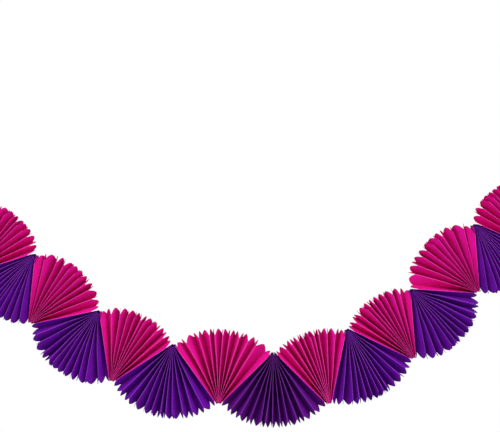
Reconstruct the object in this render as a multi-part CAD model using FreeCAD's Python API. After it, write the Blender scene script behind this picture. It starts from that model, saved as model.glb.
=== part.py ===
import FreeCAD, Part
import math
import os

# Paper fan garland: one swag of pleated paper fans, violet ones that open downwards
# and pink ones that open upwards, glued side by side, with a card leaf at each end.
# Millimetres. +X runs along the swag, +Z is up, and the fans show their faces to -Y.
# The origin is the middle of the hanging hole in the left end card.

Vector = FreeCAD.Vector

# A leaf is one panel of a fan, between two folds. It is cut to a pointed tooth at the rim and
# to a blunt one at the apex.
LEAF_LENGTH = 138.8
LEAF_WIDTH = 18.0
RIM_TOOTH_HEIGHT = 10.3
APEX_TOOTH_HEIGHT = 2.5
PAPER_THICKNESS = 0.15

# A tooth's outline, as shares of the leaf's width and of the tooth's height
RIM_TOOTH = ((0.22, 0.63), (0.5, 1.0), (0.78, 0.63))
APEX_TOOTH = ((0.5, 1.0),)

# Visible panels between the two glued leaves of a fan; the first and last fans are smaller
VIOLET_PANELS = 24
PINK_PANELS = 20
END_FAN_PANELS = 16

# At the apex all the leaves of a fan are bound into a nub of this width, from one glued leaf
# to the other, and its middle is the centre that the fan opens about
NUB_WIDTH = 7.0

# Pleats lie closer in the middle of a fan than beside its neighbours, none is quite like the
# next, and the panel next to the last one may gape: all are shares of an even pleat
MIDDLE_CROWDING = 0.3
UNEVENNESS = 0.22
GAPE = 0.4

# Three stations along a leaf: apex notch, knee and rim notch. Between the glued leaves the folds
# draw in a little towards the middle of the fan at the apex.
STATION_REACH = (APEX_TOOTH_HEIGHT, 50.0, LEAF_LENGTH - RIM_TOOTH_HEIGHT)
STATION_SPREAD = (0.8, 0.95, 1.0)
RIM = 2

# The paper is cut through front to back on a longer and longer slant where the leaves stand
# edge on, up to this length at the apex, where they are squeezed
LONGEST_SLANT = 3.0

# A fan is cupped: all but its outermost leaves give back a share of the lean of a flat fan. The
# share is the first number, and the second more for each radian that the fan opens.
CUPPING = (0.33, 0.2)

# How the swag hangs: the turn from each link to the next in degrees, left to right, violet fans
# first and last, and how far the lower end of each link leans back. A link joins the
# centres of two neighbouring fans.
TURNS = (44, 66, 71, 76, 91, 70, 98, 86, 96, 62, 81, 64, 86, 85, 67, 65, 60)
LEANS = (28, 29, 30, 29, 25, 24, 22, 18, 16, 14, 11, 20, 28, 29, 31, 31, 30, 28)
FIRST_LINK_DIRECTION = 216.0

# The swag is bowed, so the backs of its leaves all turn towards one point far behind it
BACKS_MEET = Vector(480, 1200, -150)

# The side of each fan that gapes: -1 left, 1 right and 0 neither
GAPING_SIDES = (0, 0, 0, 0, -1, -1, 1, 1, 1, 1, 1, 0, 1, -1, 0, 0, 0)
LINK_LENGTH = math.hypot(LEAF_LENGTH, NUB_WIDTH)

# End cards: a stiff card glued on the last leaf, with a tab past the apex for the hole
CARD_THICKNESS = 0.8
HOLE_RADIUS = 2.5
HOLE_PAST_LEAF = 6.0
TAB_END = ((1.0, 0.0), (0.5, 0.86), (-0.5, 0.86), (-1.0, 0.0))


def unit(vector):
    """The vector with a length of one."""
    return vector * (1 / vector.Length)


def between(first, second, share):
    """The point a share of the way from the first to the second."""
    return first + (second - first) * share


def opens_down(index):
    """Violet fans open downwards and stand at the even places along the swag."""
    return index % 2 == 0


def link_downs():
    """Unit vectors along the links between fan centres, each from its upper end down."""
    downs = []
    direction = FIRST_LINK_DIRECTION
    for index, lean in enumerate(LEANS):
        upright = math.cos(math.radians(lean))
        across = upright * math.cos(math.radians(direction))
        rise = upright * math.sin(math.radians(direction))
        downs.append(Vector(across, math.sin(math.radians(lean)), rise))
        if index < len(TURNS):
            direction += TURNS[index] if opens_down(index) else -TURNS[index]
    return downs


def leaf_depths(downs):
    """Unit vectors across the glued leaves, front to back, square to each link."""
    centre = Vector()
    depths = []
    for index, down in enumerate(downs):
        leaf = down if opens_down(max(index - 1, 0)) else down * -1
        back = BACKS_MEET - (centre + leaf * (LINK_LENGTH / 2))
        depths.append(unit(back - down * back.dot(down)))
        if index > 0:
            centre = centre + leaf * LINK_LENGTH
    return depths


def square_to_leaf(along, depth, towards):
    """The unit vector square to a flat leaf, on the side that another direction points to."""
    square = unit(along.cross(depth))
    return square if square.dot(towards) > 0 else square * -1


def glued_leaf(link, other_link, depth):
    """The direction of the glued leaf that crosses a link, seen from the fan that holds both."""
    square = square_to_leaf(link, depth, other_link)
    return unit(link * LEAF_LENGTH + square * NUB_WIDTH)


class Fan:
    """One pleated sheet between two glued leaves, bound about one centre."""

    def __init__(self, panels, phase, gaping, centre, links, depths):
        self.panels = panels
        self.phase = phase
        self.gaping = gaping
        self.centre = centre
        self.depths = depths
        self.folds = panels + 3
        left = glued_leaf(links[0], links[1], depths[0])
        right = glued_leaf(links[1], links[0], depths[1])
        self.rays = (left, right)
        self.inwards = (square_to_leaf(left, depths[0], right), square_to_leaf(right, depths[1], left))
        self.opening = left.getAngle(right)

    def place(self, fold, station):
        """Where a fold lies across the fan, 0 at the left glued leaf and 1 at the right."""
        step = fold - 1
        if step <= 0:
            return 0.0
        if step >= self.panels:
            return 1.0
        even = step / self.panels
        crowded = even + MIDDLE_CROWDING * math.sin(2 * math.pi * even) / (2 * math.pi)
        uneven = UNEVENNESS / self.panels * math.sin(2.4 * step + self.phase)
        gaped = abs(self.gaping) * GAPE / self.panels
        past_gape = self.gaping * (step - self.panels / 2) > self.panels / 2 - 1.5
        gap = gaped * (self.gaping * (past_gape - 0.5) - even + 0.5)
        return 0.5 + (crowded + uneven + gap - 0.5) * STATION_SPREAD[station]

    def ray(self, place):
        """The direction of a leaf at a place across the fan."""
        left, right = self.rays
        turn = self.opening
        flat = (left * math.sin((1 - place) * turn) + right * math.sin(place * turn)) * (1 / math.sin(turn))
        given_back = (CUPPING[0] + CUPPING[1] * turn) * (1 - (2 * place - 1) ** 4)
        return unit(flat - Vector(0, flat.y, 0) * given_back)

    def depth(self, place):
        """The direction from front to back at a place across the fan, square to the leaf there."""
        ray = self.ray(place)
        flat = between(self.depths[0], self.depths[1], place)
        return unit(flat - ray * ray.dot(flat))

    def middle(self, fold, station):
        """The point of a fold at a station, half way from the front of the fan to its back."""
        place = self.place(fold, station)
        nub = between(self.inwards[0], self.inwards[1], place) * (-NUB_WIDTH / 2)
        return self.centre + nub + self.ray(place) * STATION_REACH[station]

    def pitch(self, fold, station):
        """The mean distance square to a leaf from a fold to the folds on either side."""
        before = max(fold - 1, 1)
        after = min(fold + 1, self.folds - 2)
        depth = self.depth(self.place(fold, station))
        step = self.middle(after, station) - self.middle(before, station)
        return (step - depth * depth.dot(step)).Length / (after - before)

    def fold_pair(self, fold, station):
        """The front and back points of the paper on a fold: even folds lie at the back."""
        depth = self.depth(self.place(fold, station))
        middle = self.middle(fold, station)
        inward = self.inwards[0 if fold <= 1 else 1] * PAPER_THICKNESS
        last = self.folds - 1
        if fold in (0, last):
            edge = middle + depth * (LEAF_WIDTH / 2)
            return edge, edge + inward
        pitch = self.pitch(fold, station)
        slant = depth * min(LONGEST_SLANT, PAPER_THICKNESS * LEAF_WIDTH / pitch)
        if fold in (1, last - 1):
            edge = middle - depth * (LEAF_WIDTH / 2)
            return edge, edge + inward + slant * 2
        reach = depth * (math.sqrt(LEAF_WIDTH ** 2 - pitch ** 2) / 2)
        if fold % 2 == 0:
            return middle + reach - slant, middle + reach
        return middle - reach, middle - reach + slant

    def leaf_end(self, fold, station, tooth, layer):
        """A leaf's end from one fold to the next, round its tooth, on one face of the paper."""
        start = self.fold_pair(fold, station)[layer]
        end = self.fold_pair(fold + 1, station)[layer]
        outward = unit(self.ray(self.place(fold, station)) + self.ray(self.place(fold + 1, station)))
        height = RIM_TOOTH_HEIGHT if station == RIM else -APEX_TOOTH_HEIGHT
        points = [between(start, end, share) + outward * (rise * height) for share, rise in tooth]
        return [start] + points + [end]

    def solid(self):
        """The whole pleated sheet as one closed solid."""
        faces = []
        for fold in range(self.folds - 1):
            faces += self.leaf_faces(fold)
        for fold in (0, self.folds - 1):
            for station in range(RIM):
                front_in, back_in = self.fold_pair(fold, station)
                front_out, back_out = self.fold_pair(fold, station + 1)
                faces += [face(front_in, front_out, back_out), face(front_in, back_out, back_in)]
        return closed_solid(faces)

    def leaf_faces(self, fold):
        """Both faces and both cut ends of one leaf."""
        faces = []
        ends = []
        for layer in (0, 1):
            rim = self.leaf_end(fold, RIM, RIM_TOOTH, layer)
            apex = self.leaf_end(fold, 0, APEX_TOOTH, layer)
            faces += [face(*rim), face(*apex)]
            ends.append((rim, apex))
            for station in range(RIM):
                near = [self.fold_pair(at, station)[layer] for at in (fold, fold + 1)]
                far = [self.fold_pair(at, station + 1)[layer] for at in (fold, fold + 1)]
                if fold % 2 == 0:
                    faces += [face(near[0], near[1], far[0]), face(near[1], far[1], far[0])]
                else:
                    faces += [face(near[0], near[1], far[1]), face(near[0], far[1], far[0])]
        for front, back in zip(*ends):
            for start in range(len(front) - 1):
                faces.append(face(front[start], front[start + 1], back[start + 1]))
                faces.append(face(front[start], back[start + 1], back[start]))
        return faces


def face(*corners):
    """A flat face through its corners."""
    return Part.Face(Part.makePolygon(list(corners) + [corners[0]]))


def closed_solid(faces):
    """The solid that the faces enclose, with its faces turned outwards."""
    shell = Part.makeShell(faces)
    if Part.Solid(shell).Volume < 0:
        shell = Part.makeShell([turned.reversed() for turned in shell.Faces])
    return Part.Solid(shell)


def end_card(fan, side):
    """A stiff card on the outer face of an end leaf, with the hanging hole in its tab."""
    along = fan.rays[side]
    depth = fan.depths[side]
    outward = fan.inwards[side] * -1
    apex = fan.centre + outward * (NUB_WIDTH / 2)
    half = LEAF_WIDTH / 2
    hole = apex - along * HOLE_PAST_LEAF
    notch = apex + along * (LEAF_LENGTH - RIM_TOOTH_HEIGHT)
    outline = [hole + depth * (across * half) - along * (rise * half) for across, rise in TAB_END]
    outline += [notch - depth * half]
    for share, rise in RIM_TOOTH:
        outline.append(notch + depth * ((2 * share - 1) * half) + along * (rise * RIM_TOOTH_HEIGHT))
    outline += [notch + depth * half]
    card = face(*outline).extrude(outward * CARD_THICKNESS)
    punch = Part.makeCylinder(HOLE_RADIUS, 4 * CARD_THICKNESS, hole - outward * CARD_THICKNESS, outward)
    middle = hole + outward * (CARD_THICKNESS / 2)
    print("hole at", tuple(round(value, 3) for value in middle), "axis", tuple(outward))
    return card.cut(punch)


def first_centre(downs, depths):
    """The first fan's centre, which puts the middle of the left hanging hole at the origin."""
    along = glued_leaf(downs[0], downs[1], depths[0])
    inward = square_to_leaf(along, depths[0], downs[1])
    return along * HOLE_PAST_LEAF + inward * ((NUB_WIDTH + CARD_THICKNESS) / 2)


def hang_fans():
    """All the fans, left to right, each where it hangs."""
    downs = link_downs()
    depths = leaf_depths(downs)
    centre = first_centre(downs, depths)
    fans = []
    for index in range(len(TURNS)):
        sense = 1 if opens_down(index) else -1
        panels = VIOLET_PANELS if opens_down(index) else PINK_PANELS
        if index in (0, len(TURNS) - 1):
            panels = END_FAN_PANELS
        links = (downs[index] * sense, downs[index + 1] * sense)
        fans.append(Fan(panels, 1.7 * index, GAPING_SIDES[index], centre, links, depths[index:index + 2]))
        centre = centre + downs[index + 1] * (sense * LINK_LENGTH)
    return fans


def save(shape, node):
    """Write one node, and say how large it is."""
    shape.exportStep("parts/" + node + ".step")
    print(node, "valid" if shape.isValid() else "INVALID", "volume", round(shape.Volume))


os.makedirs("parts", exist_ok=True)
fans = hang_fans()
for index, fan in enumerate(fans):
    colour = "violet" if opens_down(index) else "pink"
    save(fan.solid(), colour + "_fan_" + str(index // 2 + 1))
save(end_card(fans[0], 0), "end_card_left")
save(end_card(fans[-1], 1), "end_card_right")
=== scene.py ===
import bpy
import math
import numpy as np
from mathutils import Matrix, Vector


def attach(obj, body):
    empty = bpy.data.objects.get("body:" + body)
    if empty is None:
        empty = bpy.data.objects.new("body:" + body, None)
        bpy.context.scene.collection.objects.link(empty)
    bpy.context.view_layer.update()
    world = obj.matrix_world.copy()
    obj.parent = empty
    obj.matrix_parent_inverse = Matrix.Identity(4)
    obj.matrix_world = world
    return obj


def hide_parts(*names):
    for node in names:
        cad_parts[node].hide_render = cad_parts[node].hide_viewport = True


# A garland of pleated paper fans hung in a swag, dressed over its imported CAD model.
# Metres, in the model's own frame: +X along the swag, +Z up, faces of the fans to -Y.

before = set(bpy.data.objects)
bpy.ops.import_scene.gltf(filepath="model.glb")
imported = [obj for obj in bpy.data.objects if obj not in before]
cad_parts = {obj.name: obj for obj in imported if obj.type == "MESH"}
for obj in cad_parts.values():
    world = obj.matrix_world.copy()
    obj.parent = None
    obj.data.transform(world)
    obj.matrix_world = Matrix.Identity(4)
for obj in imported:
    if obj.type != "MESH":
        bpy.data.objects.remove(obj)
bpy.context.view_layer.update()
scene = bpy.context.scene


# ---- camera -----------------------------------------------------------------------------
# Level with the middle of the swag and square to it, from far enough off that the fans at
# both ends are seen as flatly as the middle ones. It frames 0.9 m of the swag's length.
CAMERA_DISTANCE = 5.0
SEEN_WIDTH = 0.897
SEEN_MIDDLE_X = 0.4791
SEEN_MIDDLE_Z = -0.0257
SEEN_DEPTH = 50
camera_data = bpy.data.cameras.new("camera")
camera = bpy.data.objects.new("camera", camera_data)
scene.collection.objects.link(camera)
camera.location = (SEEN_MIDDLE_X, -CAMERA_DISTANCE, SEEN_MIDDLE_Z)
camera.rotation_euler = (math.radians(90), 0, 0)
camera_data.lens = camera_data.sensor_width * CAMERA_DISTANCE / SEEN_WIDTH
camera_data.clip_end = SEEN_DEPTH
scene.camera = camera
scene.view_settings.view_transform = "Standard"


# ---- studio -----------------------------------------------------------------------------
# A pale floor well below the swag and a white surround look whiter to the camera than the light
# that they throw on the paper. Broad soft lamps far out to both sides light the crest of every
# pleat and leave its depth dark, and smaller ones above and behind soften that.
FLOOR_LEVEL = -0.85
FLOOR_CORNERS = ((-4, -4, 0), (5, -4, 0), (5, 4, 0), (-4, 4, 0))
FLOOR_GLOW = 0.45
SKY_LIGHT = 0.3
LAMPS_AIM = Vector((0.48, 0, 0))
floor_mesh = bpy.data.meshes.new("studio_floor")
floor_mesh.from_pydata(FLOOR_CORNERS, [], [(0, 1, 2, 3)])
floor = bpy.data.objects.new("studio_floor", floor_mesh)
floor.location = (0, 0, FLOOR_LEVEL)
scene.collection.objects.link(floor)
floor_paint = bpy.data.materials.new("pale_floor")
floor_paint.use_nodes = True
floor_tree = floor_paint.node_tree
floor_shader = floor_tree.nodes["Principled BSDF"]
floor_shader.inputs["Base Color"].default_value = (0.82, 0.82, 0.82, 1)
floor_shader.inputs["Roughness"].default_value = 0.9
floor_shader.inputs["Emission Color"].default_value = (1, 1, 1, 1)
floor_rays = floor_tree.nodes.new("ShaderNodeLightPath")
floor_glow = floor_tree.nodes.new("ShaderNodeMapRange")
floor_glow.inputs["To Max"].default_value = FLOOR_GLOW
floor_tree.links.new(floor_rays.outputs["Is Camera Ray"], floor_glow.inputs["Value"])
floor_tree.links.new(floor_glow.outputs["Result"], floor_shader.inputs["Emission Strength"])
floor_mesh.materials.append(floor_paint)

world = bpy.data.worlds.new("studio")
scene.world = world
world.use_nodes = True
sky = world.node_tree
surround = sky.nodes["Background"]
surround.inputs["Color"].default_value = (1, 1, 1, 1)
sky_rays = sky.nodes.new("ShaderNodeLightPath")
sky_level = sky.nodes.new("ShaderNodeMapRange")
sky_level.inputs["To Min"].default_value = SKY_LIGHT
sky_level.inputs["To Max"].default_value = 1.0
sky.links.new(sky_rays.outputs["Is Camera Ray"], sky_level.inputs["Value"])
sky.links.new(sky_level.outputs["Result"], surround.inputs["Strength"])

for name, place, size, power in (
    ("left_softbox", (-3.5, -0.9, 1.0), 3.2, 112),
    ("right_softbox", (4.5, -0.9, 1.0), 3.2, 112),
    ("top_softbox", (0.6, -1.2, 2.4), 1.5, 44),
    ("back_softbox", (0.5, 3.0, 1.0), 2.0, 60),
):
    lamp = bpy.data.lights.new(name, "AREA")
    lamp.size = size
    lamp.energy = power
    light = bpy.data.objects.new(name, lamp)
    scene.collection.objects.link(light)
    light.location = place
    light.rotation_euler = (LAMPS_AIM - light.location).to_track_quat("-Z", "Y").to_euler()


# ---- paper fans -------------------------------------------------------------------------
# Seventeen sheets of dyed paper, pleated like a concertina, cut to pointed teeth at both
# ends and glued leaf to leaf. Violet fans open downwards and pink ones upwards.

# A leaf is one panel of a fan, between two folds. It is cut to a pointed tooth at the rim and
# to a blunt one at the apex, where the leaf ends of a fan are bound into a nub of this width.
LEAF_LENGTH = 0.1388
LEAF_WIDTH = 0.018
RIM_TOOTH_HEIGHT = 0.0103
APEX_TOOTH_HEIGHT = 0.0025
PAPER_THICKNESS = 0.00015
NUB_WIDTH = 0.007

# Visible panels between the two glued leaves of a fan; the first and last fans are smaller
VIOLET_PANELS = 24
PINK_PANELS = 20
END_FAN_PANELS = 16

# How the swag hangs: the turn from each link to the next in degrees, left to right, violet fans
# first and last, and how far the lower end of each link leans back. A link joins the centres of
# two neighbouring fans.
TURNS = (44, 66, 71, 76, 91, 70, 98, 86, 96, 62, 81, 64, 86, 85, 67, 65, 60)
LEANS = (28, 29, 30, 29, 25, 24, 22, 18, 16, 14, 11, 20, 28, 29, 31, 31, 30, 28)
FIRST_LINK_DIRECTION = 216.0
LINK_LENGTH = math.hypot(LEAF_LENGTH, NUB_WIDTH)

# The hole that the swag hangs by is at the origin, this far past the apex end of its first leaf,
# in a card of this thickness
HOLE_PAST_LEAF = 0.006
CARD_THICKNESS = 0.0008

# Pleats lie closer in the middle of a fan than beside its neighbours, none is quite like the
# next, they sway along their length, and the panel next to the last one may gape, at the left
# (-1) or the right (1) of a fan: all by shares of an even pleat. The step shifts the pattern
# from each fan to the next.
MIDDLE_CROWDING = 0.3
UNEVENNESS = 0.22
SWAY = 0.16
GAPE = 0.4
GAPING_SIDES = (0, 0, 0, 0, -1, -1, 1, 1, 1, 1, 1, 0, 1, -1, 0, 0, 0)
PHASE_STEP = 1.7

# Apex notch, knee and rim notch of a leaf: the folds draw in a little towards the middle of the
# fan at the apex
STATION_REACH = (APEX_TOOTH_HEIGHT, 0.05, LEAF_LENGTH - RIM_TOOTH_HEIGHT)
STATION_SPREAD = (0.8, 0.95, 1.0)

# The paper is cut through front to back on a longer and longer slant where the leaves stand
# edge on, up to this length at the apex, where they are squeezed
LONGEST_SLANT = 0.003
LEAST_PITCH = 0.00001

# A fan is cupped: all but its outermost leaves give back a share of the lean of a flat fan. The
# share is the first number, and the second more for each radian that the fan opens.
CUPPING = (0.33, 0.2)

# The bowed swag turns the backs of its glued leaves to one point far behind it. The loose pleats
# between them fall over a little towards one below its middle. The slope of their fall is half
# the largest at the half distance from there, and it is full from this reach along a leaf out
# and in a fan that opens at least this far in radians.
BACKS_MEET = np.array((0.48, 1.2, -0.15))
PLEATS_LEAN_TO = np.array((0.48, 0, -0.45))
LARGEST_LEAN = 0.75
HALF_LEAN_DISTANCE = 0.35
FULL_LEAN_REACH = 0.07
FULL_LEAN_OPENING = 1.15

# Points across a leaf, as shares of its width from its front fold, and how far the paper stands
# out there beside a soft front fold, as shares of half the width of its crest
COLUMN_PLACES = np.array((0, 0.02, 0.05, 0.12, 0.28, 0.5, 0.72, 0.88, 1))
CREST_SWELL = np.array((0, 0.8, 1, 0.8, 0.3, 0.08, 0, 0, 0))
CREST_HALF_WIDTH = 0.00045
COLUMNS = len(COLUMN_PLACES) - 1

# Points along a leaf, closer together towards its rim
ROWS = 34
RIM_CROWDING = 0.25

# Each leaf bellies and its tooth curls, by amounts of their own and from these shares of its
# length outwards
BELLY = 0.0009
BELLY_VARIES = 0.0011
BELLY_STARTS = 0.25
TOOTH_CURL = 0.0016
TOOTH_CURL_STARTS = 0.86

# The bulge of a tooth's sides, where 1 is straight: least at the bottom of the swag, and this
# much more for each fan away from there
TOOTH_ROUNDNESS = 1.3
ROUNDER_BY_FAN = 0.1


def unit(vectors):
    """Vectors with a length of one."""
    return vectors / np.linalg.norm(vectors, axis=-1, keepdims=True)


def dot(first, second):
    """Dot products, kept as a column."""
    return np.sum(first * second, axis=-1, keepdims=True)


def square_to_leaf(along, depth, towards):
    """The unit vector square to a glued leaf, on the side another direction points to."""
    square = unit(np.cross(along, depth))
    return square if square @ towards > 0 else -square


def glued_leaf(link, other_link, depth):
    """The direction of the glued leaf that crosses a link between two fan centres."""
    return unit(link * LEAF_LENGTH + square_to_leaf(link, depth, other_link) * NUB_WIDTH)


def link_downs():
    """Unit vectors along the links between fan centres, each from its upper end down."""
    downs = []
    direction = FIRST_LINK_DIRECTION
    for index, lean in enumerate(LEANS):
        turned, leant = math.radians(direction), math.radians(lean)
        upright = math.cos(leant)
        downs.append(np.array((upright * math.cos(turned), math.sin(leant), upright * math.sin(turned))))
        if index < len(TURNS):
            direction += TURNS[index] if index % 2 == 0 else -TURNS[index]
    return downs


def leaf_depths(downs):
    """Unit vectors across the glued leaves, front to back, square to each link."""
    centre = np.zeros(3)
    depths = []
    for index, down in enumerate(downs):
        leaf = down if max(index - 1, 0) % 2 == 0 else -down
        back = BACKS_MEET - centre - leaf * (LINK_LENGTH / 2)
        depths.append(unit(back - down * (back @ down)))
        if index > 0:
            centre = centre + leaf * LINK_LENGTH
    return depths


class Pleats:
    """The folds of one fan, worked out for all of them at once at any reach from the centre."""

    def __init__(self, panels, phase, gaping, centre, links, depths):
        self.panels = panels
        self.phase = phase
        self.gaping = gaping
        self.centre = centre
        self.depths = depths
        left = glued_leaf(links[0], links[1], depths[0])
        right = glued_leaf(links[1], links[0], depths[1])
        self.rays = (left, right)
        self.inwards = (square_to_leaf(left, depths[0], right), square_to_leaf(right, depths[1], left))
        self.opening = math.acos(left @ right)
        towards = (PLEATS_LEAN_TO - centre) * (1, 0, 1)
        room = min(1, self.opening / FULL_LEAN_OPENING) ** 2
        self.lean = towards * (LARGEST_LEAN * room / (np.linalg.norm(towards) + HALF_LEAN_DISTANCE))

    def places(self, reach):
        """Where each fold lies across the fan, 0 at the left glued leaf and 1 at the right."""
        step = np.clip(np.arange(-1, self.panels + 2), 0, self.panels).reshape(-1, 1, 1)
        even = step / self.panels
        crowded = even + MIDDLE_CROWDING * np.sin(2 * np.pi * even) / (2 * np.pi)

        # Waves that are no whole number of folds long make the spacing uneven
        uneven = UNEVENNESS / self.panels * np.sin(2.4 * step + self.phase)
        swaying = np.sin(1.9 * step + 2 * self.phase) * np.sin(reach / LEAF_LENGTH * 5.2)
        sway = SWAY / self.panels * swaying

        # The gaping panel takes its room evenly from all the others
        past_gape = self.gaping * (step - self.panels / 2) > self.panels / 2 - 1.5
        gap = abs(self.gaping) * GAPE / self.panels * (self.gaping * (past_gape - 0.5) - even + 0.5)

        spread = np.interp(reach, STATION_REACH, STATION_SPREAD)
        inner = 0.5 + (crowded + uneven + sway + gap - 0.5) * spread
        glued = (step == 0) | (step == self.panels)
        return np.where(glued, even, inner)[..., None]

    def directions(self, place, reach):
        """The directions along the leaves and from front to back at places across the fan."""
        left, right = self.rays
        turn = self.opening
        loose = 1 - (2 * place - 1) ** 4
        flat = (left * np.sin((1 - place) * turn) + right * np.sin(place * turn)) / math.sin(turn)
        given_back = (CUPPING[0] + CUPPING[1] * turn) * loose
        along = unit(flat - flat * (0, 1, 0) * given_back)
        fallen = np.minimum(reach[..., None] / FULL_LEAN_REACH, 1) * loose
        across = self.depths[0] + (self.depths[1] - self.depths[0]) * place + self.lean * fallen
        return along, unit(across - along * dot(along, across))

    def folds(self, reach):
        """The front and back points of the paper on every fold, at a grid of reaches."""
        place = self.places(reach)
        along, depth = self.directions(place, reach)
        nub = (self.inwards[0] + (self.inwards[1] - self.inwards[0]) * place) * (-NUB_WIDTH / 2)
        middle = self.centre + nub + along * reach[..., None]

        # The pitch at a fold is the mean distance, square to the leaf, to the folds on either side
        after = np.minimum(np.arange(1, self.panels + 4), self.panels + 1)
        before = np.maximum(np.arange(-1, self.panels + 2), 1)
        count = np.maximum(after - before, 1).reshape(-1, 1, 1, 1)
        step = middle[after] - middle[before]
        pitch = np.linalg.norm(step - depth * dot(depth, step), axis=-1, keepdims=True) / count
        pitch = np.maximum(pitch, LEAST_PITCH)
        slant = depth * np.minimum(LONGEST_SLANT, PAPER_THICKNESS * LEAF_WIDTH / pitch)
        half = depth * np.sqrt(LEAF_WIDTH ** 2 - pitch ** 2) / 2

        # Even folds lie at the back of the fan and odd ones at the front
        number = np.arange(self.panels + 3).reshape(-1, 1, 1, 1)
        at_back = number % 2 == 0
        front = np.where(at_back, middle + half - slant, middle - half)
        back = np.where(at_back, middle + half, middle - half + slant)

        # A glued leaf lies flat on its neighbour, from its fold in front to its free edge behind
        for side, free, joint in ((0, 0, 1), (1, self.panels + 2, self.panels + 1)):
            inward = self.inwards[side] * PAPER_THICKNESS
            edge = depth[joint] * (LEAF_WIDTH / 2)
            front[free] = middle[free] + edge
            back[free] = front[free] + inward
            front[joint] = middle[joint] - edge
            back[joint] = front[joint] + inward + slant[joint] * 2
        return front, back


def leaf_grid(parity, roundness):
    """Shares across the even or the odd leaves, the reach of every point, and shares along."""
    across = COLUMN_PLACES if parity else 1 - COLUMN_PLACES[::-1]
    tooth = 1 - np.abs(2 * across - 1) ** roundness
    rows = np.linspace(0, 1, ROWS + 1)
    rows = rows + RIM_CROWDING / np.pi * np.sin(np.pi * rows)
    start = APEX_TOOTH_HEIGHT * (1 - tooth)
    end = LEAF_LENGTH - RIM_TOOTH_HEIGHT * (1 - tooth)
    return across, start[:, None] + (end - start)[:, None] * rows, rows


def bulge(leaf, pleats, share, reach):
    """How far a leaf stands out of flat, by its belly and by the curl of its tooth."""
    along = reach / LEAF_LENGTH
    belly = BELLY_VARIES * np.sin(leaf * 2.1 + pleats.phase * 3) + BELLY
    tooth_curl = TOOTH_CURL * np.sin(leaf * 3.7 + pleats.phase)
    past_start = np.clip(along - BELLY_STARTS, 0, 1)
    in_tooth = np.clip((along - TOOTH_CURL_STARTS) / (1 - TOOTH_CURL_STARTS), 0, 1)
    return (belly * past_start ** 1.5 + tooth_curl * in_tooth ** 2) * np.sin(np.pi * share)


def fan_mesh(name, pleats, opens_down, roundness):
    """The pleated sheet as a closed mesh, with soft front folds and sharp back folds."""
    leaves = pleats.panels + 2
    grids = np.empty((2, leaves, COLUMNS + 1, ROWS + 1, 3))
    places = np.empty((leaves, COLUMNS + 1))
    for parity in (0, 1):
        across, reach, rows = leaf_grid(parity, roundness)
        places[parity::2] = across
        leaf = np.arange(parity, leaves, 2).reshape(-1, 1, 1)
        from_front = (across if parity else 1 - across).reshape(1, -1, 1)
        mean_pitch = (NUB_WIDTH + pleats.opening * reach) / pleats.panels
        crest = np.minimum(CREST_HALF_WIDTH, mean_pitch / 2) * (-1 if opens_down else 1)
        free = (leaf > 0) & (leaf < leaves - 1) & (from_front > 0) & (from_front < 1)
        faces = pleats.folds(reach)
        slant = np.linalg.norm(faces[1] - faces[0], axis=-1)[1::2]

        # Both faces of the paper are bent by the same amount at the same place across a leaf
        for face, (layer, points) in enumerate(zip(grids, faces)):
            first, last = points[parity:-1:2], points[parity + 1::2]
            flat = first + (last - first) * across.reshape(1, -1, 1, 1)
            square = unit(np.cross(last - first, np.gradient(flat, axis=2)))
            share = np.minimum(from_front + face * slant / LEAF_WIDTH, 1)
            outwards = crest * np.interp(share, COLUMN_PLACES, CREST_SWELL)
            sideways = bulge(leaf, pleats, share, reach) * (-1 if parity else 1)
            layer[parity::2] = flat + square * np.where(free, outwards + sideways, 0)[..., None]

    # Neighbouring leaves share the column of points on the fold between them
    columns = [np.concatenate((grid[0, :1], grid[:, 1:].reshape(-1, ROWS + 1, 3))) for grid in grids]
    points = np.concatenate([column.reshape(-1, 3) for column in columns])
    return sheet_from_columns(name, points, leaves, places, rows)


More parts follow.
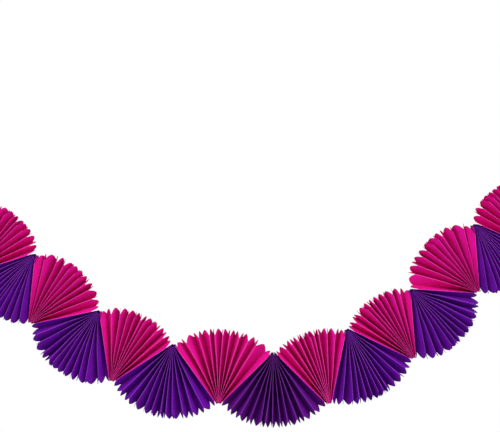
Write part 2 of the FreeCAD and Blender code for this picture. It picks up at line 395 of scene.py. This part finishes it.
def sheet_from_columns(name, points, leaves, places, rows):
    """Faces, map and sharp folds for two layers of columns of points."""
    width = leaves * COLUMNS + 1
    tall = ROWS + 1
    layer = width * tall

    # The two faces of the paper, its cuts at the apex and the rim, and its two free edges
    at = np.arange(layer).reshape(width, tall)
    quads = np.stack((at[:-1, :-1], at[1:, :-1], at[1:, 1:], at[:-1, 1:]), axis=-1).reshape(-1, 4)
    faces = [quads, quads[:, (0, 3, 2, 1)] + layer]
    for row, flip in ((0, False), (ROWS, True)):
        rim = np.stack((at[1:, row], at[:-1, row], at[:-1, row] + layer, at[1:, row] + layer), axis=-1)
        faces.append(rim[:, ::-1] if flip else rim)
    for column, flip in ((0, True), (width - 1, False)):
        end = at[column]
        edge = np.stack((end[1:], end[:-1], end[:-1] + layer, end[1:] + layer), axis=-1)
        faces.append(edge if flip else edge[:, ::-1])
    faces = np.concatenate(faces)
    mesh = bpy.data.meshes.new(name)
    mesh.from_pydata(points.tolist(), [], faces.tolist())
    mesh.shade_smooth()

    # The map counts the leaves across, and runs from 0 at the apex to 1 at the rim
    position = np.arange(leaves).reshape(-1, 1) + places[:, 1:]
    position = np.concatenate(([0.0], position.reshape(-1)))
    grid_map = np.stack(np.meshgrid(position, rows, indexing="ij"), axis=-1).reshape(-1, 2)
    grid_map = np.concatenate((grid_map, grid_map))
    corners = np.empty(len(mesh.loops), dtype=np.int32)
    mesh.loops.foreach_get("vertex_index", corners)
    paper_map = mesh.uv_layers.new(name="paper")
    paper_map.data.foreach_set("uv", grid_map[corners].reshape(-1).astype(np.float32))

    # Back folds, the folds of the glued leaves and the cuts are sharp, and front folds soft
    ends = np.empty(len(mesh.edges) * 2, dtype=np.int32)
    mesh.edges.foreach_get("vertices", ends)
    ends = ends.reshape(-1, 2)
    column, row = (ends % layer) // tall, (ends % layer) % tall
    fold = column[:, 0] // COLUMNS
    creased = (fold % 2 == 0) | (fold == 1) | (fold == leaves - 1)
    along_fold = (column[:, 0] == column[:, 1]) & (column[:, 0] % COLUMNS == 0) & creased
    at_cut = (row[:, 0] == row[:, 1]) & (row[:, 0] % ROWS == 0)
    sharp = mesh.attributes.new("sharp_edge", "BOOLEAN", "EDGE")
    sharp.data.foreach_set("value", along_fold | at_cut)
    return mesh


def paper_material(name, colour, deep_dye_and_shade, crest, apex_wear_and_highlight, seed):
    """Matte dyed paper: fibre grain, leaf to leaf tone, painted shade towards the back folds, the apex
    and the cut rim, and pale fold crests that are partly wear and partly painted highlight.
    """
    material = bpy.data.materials.new(name)
    material.use_nodes = True
    tree = material.node_tree
    shader = tree.nodes["Principled BSDF"]

    def node(kind, **values):
        made = tree.nodes.new(kind)
        for key, value in values.items():
            setattr(made, key, value)
        return made

    def feed(socket, value):
        if isinstance(value, bpy.types.NodeSocket):
            tree.links.new(value, socket)
        else:
            socket.default_value = value

    def maths(operation, first, second=0.0):
        made = node("ShaderNodeMath", operation=operation)
        feed(made.inputs[0], first)
        feed(made.inputs[1], second)
        return made.outputs[0]

    def ramp(value, low, high, start=0.0, end=1.0):
        made = node("ShaderNodeMapRange", interpolation_type="SMOOTHSTEP")
        feed(made.inputs["Value"], value)
        for socket, amount in (("From Min", low), ("From Max", high), ("To Min", start), ("To Max", end)):
            made.inputs[socket].default_value = amount
        return made.outputs["Result"]

    def mix(share, first, second):
        # Inputs 6 and 7 and output 2 are the ones for colours
        made = node("ShaderNodeMix", data_type="RGBA")
        feed(made.inputs["Factor"], share)
        feed(made.inputs[6], first)
        feed(made.inputs[7], second)
        return made.outputs[2]

    paper = node("ShaderNodeUVMap", uv_map="paper")
    split = node("ShaderNodeSeparateXYZ")
    tree.links.new(paper.outputs[0], split.inputs[0])
    across, along = split.outputs[0], split.outputs[1]
    place = node("ShaderNodeTexCoord")

    # Grain of fibres, cloudy dye, and a tone of its own for each leaf
    tone = node("ShaderNodeTexWhiteNoise", noise_dimensions="1D")
    feed(tone.inputs["W"], maths("ADD", maths("FLOOR", across), seed))
    grain = node("ShaderNodeTexNoise")
    tree.links.new(place.outputs["Object"], grain.inputs["Vector"])
    grain.inputs["Scale"].default_value = 900
    grain.inputs["Detail"].default_value = 6
    cloud = node("ShaderNodeTexNoise")
    tree.links.new(place.outputs["Object"], cloud.inputs["Vector"])
    cloud.inputs["Scale"].default_value = 45
    cloud.inputs["Detail"].default_value = 3

    dye_and_shade = mix(ramp(cloud.outputs[0], 0.3, 0.7, 0.0, 0.5), (*colour, 1), (*deep_dye_and_shade, 1))
    dye_and_shade = mix(maths("MULTIPLY", tone.outputs["Value"], 0.35), dye_and_shade, (*deep_dye_and_shade, 1))
    speck = ramp(grain.outputs[0], 0.55, 0.75, 0.0, 0.12)
    dye_and_shade = mix(speck, dye_and_shade, (*crest, 1))

    # Painted shade: darker towards the back folds and the apex, deep in the pleats
    front_fold = maths("PINGPONG", maths("SUBTRACT", across, 1.0), 1.0)
    back_fold = maths("PINGPONG", across, 1.0)
    dye_and_shade = mix(ramp(back_fold, 0.1, 0.8, 0.6, 0.0), dye_and_shade, (*deep_dye_and_shade, 1))
    dye_and_shade = mix(ramp(along, 0.05, 0.7, 0.6, 0.0), dye_and_shade, (*deep_dye_and_shade, 1))

    # Pale on the folds: worn on the back ones, partly wear and partly painted highlight on the front ones
    # and at the apex; painted shade at the cut rim
    wear_and_highlight_patches = ramp(cloud.outputs[0], 0.25, 0.6, 0.65, 1.0)
    ridge_wear_and_highlight = maths("MULTIPLY", ramp(front_fold, 0.01, 0.038, 0.95, 0.0), wear_and_highlight_patches)
    ridge_wear_and_highlight = maths("MULTIPLY", ridge_wear_and_highlight, ramp(along, 0.03, 0.4, apex_wear_and_highlight, 1.0))
    valley = maths("MULTIPLY", ramp(back_fold, 0.01, 0.04, 0.25, 0.0), wear_and_highlight_patches)
    creased = mix(maths("MAXIMUM", ridge_wear_and_highlight, valley), dye_and_shade, (*crest, 1))
    creased = mix(ramp(along, 0.0, 0.03, apex_wear_and_highlight, 0.0), creased, (*crest, 1))
    # Painted shade: the paper darkens at the cut rim to a quarter of the deep colour
    rim_shade_mask = ramp(along, 0.98, 1.0, 0.0, 0.35)
    rim_shade_colour = (*[channel * 0.25 for channel in deep_dye_and_shade], 1)
    feed(shader.inputs["Base Color"], mix(rim_shade_mask, creased, rim_shade_colour))
    feed(shader.inputs["Roughness"], ramp(grain.outputs[0], 0.3, 0.7, 0.72, 0.88))
    shader.inputs["Specular IOR Level"].default_value = 0.1

    bump = node("ShaderNodeBump")
    bump.inputs["Strength"].default_value = 0.25
    bump.inputs["Distance"].default_value = 0.0002
    tree.links.new(grain.outputs[0], bump.inputs["Height"])
    tree.links.new(bump.outputs[0], shader.inputs["Normal"])
    return material


# The deep colours serve for darker dye and for painted shade, and the crest colours for pale wear and
# painted highlight
violet_paper = paper_material(
    "violet_paper", colour=(0.17, 0.001, 0.42), deep_dye_and_shade=(0.085, 0.001, 0.21), crest=(0.28, 0.05, 0.48),
    apex_wear_and_highlight=0.3, seed=3)
# Painted shade: a darker copy of the violet paper, for the lowest violet fan
shaded_violet_paper = paper_material(
    "shaded_violet_paper", colour=(0.125, 0.001, 0.255), deep_dye_and_shade=(0.08, 0.001, 0.15), crest=(0.2, 0.04, 0.31),
    apex_wear_and_highlight=0.3, seed=3)
pink_paper = paper_material(
    "pink_paper", colour=(0.81, 0.001, 0.36), deep_dye_and_shade=(0.61, 0.001, 0.16), crest=(0.85, 0.07, 0.43),
    apex_wear_and_highlight=0.6, seed=71)

# The lowest violet fan takes a darker copy of the violet paper, as painted shade
SHADED_FAN = "violet_fan_5"

downs = link_downs()
depths = leaf_depths(downs)
first_leaf = glued_leaf(downs[0], downs[1], depths[0])
first_inward = square_to_leaf(first_leaf, depths[0], downs[1])
centre = first_leaf * HOLE_PAST_LEAF + first_inward * ((NUB_WIDTH + CARD_THICKNESS) / 2)
last_fan = len(TURNS) - 1
for index in range(len(TURNS)):
    violet = index % 2 == 0
    sense = 1 if violet else -1
    panels = VIOLET_PANELS if violet else PINK_PANELS
    if index in (0, last_fan):
        panels = END_FAN_PANELS
    node = ("violet_fan_" if violet else "pink_fan_") + str(index // 2 + 1)
    links = (downs[index] * sense, downs[index + 1] * sense)
    phase = PHASE_STEP * index
    pleats = Pleats(panels, phase, GAPING_SIDES[index], centre, links, depths[index:index + 2])
    roundness = TOOTH_ROUNDNESS + ROUNDER_BY_FAN * abs(index - last_fan // 2)
    mesh = fan_mesh(node + "_paper", pleats, violet, roundness)
    fan = bpy.data.objects.new(node + "_paper", mesh)
    scene.collection.objects.link(fan)
    paper = violet_paper if violet else pink_paper
    mesh.materials.append(shaded_violet_paper if node == SHADED_FAN else paper)
    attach(fan, "root")
    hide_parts(node)
    centre = centre + downs[index + 1] * (sense * LINK_LENGTH)


# ---- end cards --------------------------------------------------------------------------
# A stiff violet card glued behind the outermost leaf at each end, with a punched hole for
# the string. The modelled cards keep their shape and take a finish of smooth dyed card.
card_stock = bpy.data.materials.new("end_card")
card_stock.use_nodes = True
card_tree = card_stock.node_tree
card_shader = card_tree.nodes["Principled BSDF"]
card_place = card_tree.nodes.new("ShaderNodeTexCoord")
card_grain = card_tree.nodes.new("ShaderNodeTexNoise")
card_grain.inputs["Scale"].default_value = 500
card_grain.inputs["Detail"].default_value = 5
card_tone = card_tree.nodes.new("ShaderNodeMix")
card_tone.data_type = "RGBA"
card_tone.inputs[6].default_value = (0.085, 0.001, 0.21, 1)
card_tone.inputs[7].default_value = (0.15, 0.003, 0.37, 1)
card_bump = card_tree.nodes.new("ShaderNodeBump")
card_bump.inputs["Strength"].default_value = 0.15
card_bump.inputs["Distance"].default_value = 0.0002
card_tree.links.new(card_place.outputs["Object"], card_grain.inputs["Vector"])
card_tree.links.new(card_grain.outputs[0], card_tone.inputs["Factor"])
card_tree.links.new(card_tone.outputs[2], card_shader.inputs["Base Color"])
card_tree.links.new(card_grain.outputs[0], card_bump.inputs["Height"])
card_tree.links.new(card_bump.outputs[0], card_shader.inputs["Normal"])
card_shader.inputs["Roughness"].default_value = 0.75
card_shader.inputs["Specular IOR Level"].default_value = 0.15
for card in ("end_card_left", "end_card_right"):
    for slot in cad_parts[card].material_slots:
        slot.material = card_stock
